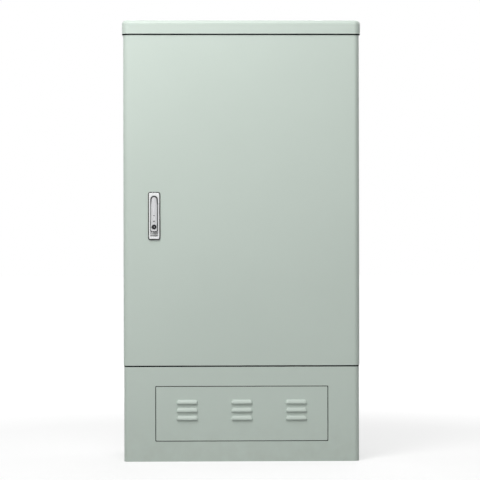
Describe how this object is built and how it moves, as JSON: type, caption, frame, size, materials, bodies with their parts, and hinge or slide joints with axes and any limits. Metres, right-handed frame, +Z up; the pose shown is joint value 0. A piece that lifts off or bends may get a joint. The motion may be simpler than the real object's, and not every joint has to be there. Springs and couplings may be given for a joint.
{
  "type": "roadside utility cabinet",
  "caption": "Upright moulded street cabinet with a flat roof cap, one pivoted door with a swing handle and rod lock, and a plinth with a louvred access panel.",
  "frame": {"origin": "on the ground under the middle of the body", "axes": "+X to the right seen from the door, +Y to the back, +Z up"},
  "size_m": [0.758, 0.3419, 1.4],
  "materials": {
    "moulded_panel": "semi-gloss moulded glass-fibre sheet, light grey-green",
    "moulded_inner": "unpolished moulded glass-fibre sheet",
    "galvanised_sheet": "galvanised folded sheet",
    "zinc_fastener": "zinc plated",
    "bright_steel": "bright drawn",
    "zinc_casting": "die-cast zinc",
    "chrome_bezel": "bright chrome plate",
    "satin_lever": "satin chrome plate",
    "black_lock": "black",
    "black_nylon": "moulded nylon",
    "seal_rubber": "moulded rubber",
    "module_plastic": "moulded",
    "pocket_plastic": "moulded",
    "copper_bar": "bare copper",
    "red_insulator": "moulded resin"
  },
  "bodies": {
    "cabinet": {"plinth": "moulded_panel", "access_panel": "moulded_panel", "turn_button_nuts": "zinc_fastener", "floor_panel": "moulded_inner", "gland_plate": "galvanised_sheet", "gland_plate_screws": "zinc_fastener", "cable_grommets": "seal_rubber", "side_panel_left": "moulded_panel", "side_panel_right": "moulded_panel", "back_panel": "moulded_panel", "back_panel_screws": "zinc_fastener", "door_frame": "moulded_inner", "frame_bolts": "zinc_fastener", "ceiling_panel": "moulded_inner", "roof_cap": "moulded_panel", "roof_bolts": "zinc_fastener", "body_bolts": "zinc_fastener", "pivot_bracket_top": "galvanised_sheet", "pivot_bracket_bottom": "galvanised_sheet", "pivot_bracket_screws": "zinc_fastener", "pivot_pin_top": "bright_steel", "pivot_pin_bottom": "bright_steel", "thrust_washer": "black_nylon", "strike_plates": "galvanised_sheet", "upright_left": "galvanised_sheet", "upright_right": "galvanised_sheet", "cross_rails": "galvanised_sheet", "rail_bolts": "zinc_fastener", "module_frame_left": "galvanised_sheet", "module_frame_right": "galvanised_sheet", "modules_left": "module_plastic", "modules_right": "module_plastic", "cable_clamps": "black_nylon", "earth_bar": "copper_bar", "earth_insulators": "red_insulator", "earth_bar_screws": "zinc_fastener"},
    "door": {"door_pan": "moulded_panel", "door_seal": "seal_rubber", "door_stiffeners": "galvanised_sheet", "document_pocket": "pocket_plastic", "pivot_bush_top": "black_nylon", "pivot_bush_bottom": "black_nylon", "handle_bezel": "chrome_bezel", "bezel_clamp": "galvanised_sheet", "lock_case": "zinc_casting", "lock_cover": "galvanised_sheet", "lock_case_screws": "zinc_fastener", "rod_guides": "black_nylon"},
    "spindle": {"handle_spindle": "bright_steel", "lever_cross_pin": "bright_steel", "lock_pinion": "zinc_casting", "spindle_bolt": "zinc_fastener"},
    "lever": {"handle_lever": "satin_lever", "lever_plate": "satin_lever", "lock_barrel": "black_lock"},
    "plug": {"key_plug": "black_lock"},
    "rod_upper": {"lock_rod_upper": "bright_steel"},
    "rod_lower": {"lock_rod_lower": "bright_steel"},
    "button_left": {"turn_button_left": "galvanised_sheet"},
    "button_right": {"turn_button_right": "galvanised_sheet"}
  },
  "joints": [
    {"name": "door_swing", "type": "hinge", "parent": "cabinet", "child": "door", "pos_m": [0.3625, -0.145, 0.8285], "axis": [0, 0, 1], "range_deg": [0, 120]},
    {"name": "handle_turn", "type": "hinge", "parent": "door", "child": "spindle", "pos_m": [-0.277, -0.15, 0.831], "axis": [0, -1, 0], "range_deg": [0, 90]},
    {"name": "handle_lift", "type": "hinge", "parent": "spindle", "child": "lever", "pos_m": [-0.277, -0.1715, 0.831], "axis": [-1, 0, 0], "range_deg": [0, 30]},
    {"name": "key_turn", "type": "hinge", "parent": "lever", "child": "plug", "pos_m": [-0.277, -0.1715, 0.744], "axis": [0, -1, 0], "range_deg": [0, 90]},
    {"name": "rod_upper_slide", "type": "slide", "parent": "door", "child": "rod_upper", "axis": [0, 0, -1], "range_m": [0, 0.0201]},
    {"name": "rod_lower_slide", "type": "slide", "parent": "door", "child": "rod_lower", "axis": [0, 0, 1], "range_m": [0, 0.0201]},
    {"name": "turn_button_left_turn", "type": "hinge", "parent": "cabinet", "child": "button_left", "pos_m": [-0.2145, -0.1501, 0.2155], "axis": [0, 1, 0], "range_deg": [0, 90]},
    {"name": "turn_button_right_turn", "type": "hinge", "parent": "cabinet", "child": "button_right", "pos_m": [0.2145, -0.1501, 0.2155], "axis": [0, -1, 0], "range_deg": [0, 90]}
  ],
  "couplings": [
    {"joint": "rod_upper_slide", "follows": "handle_turn", "m_per_rad": 0.01275},
    {"joint": "rod_lower_slide", "follows": "handle_turn", "m_per_rad": 0.01275}
  ]
}
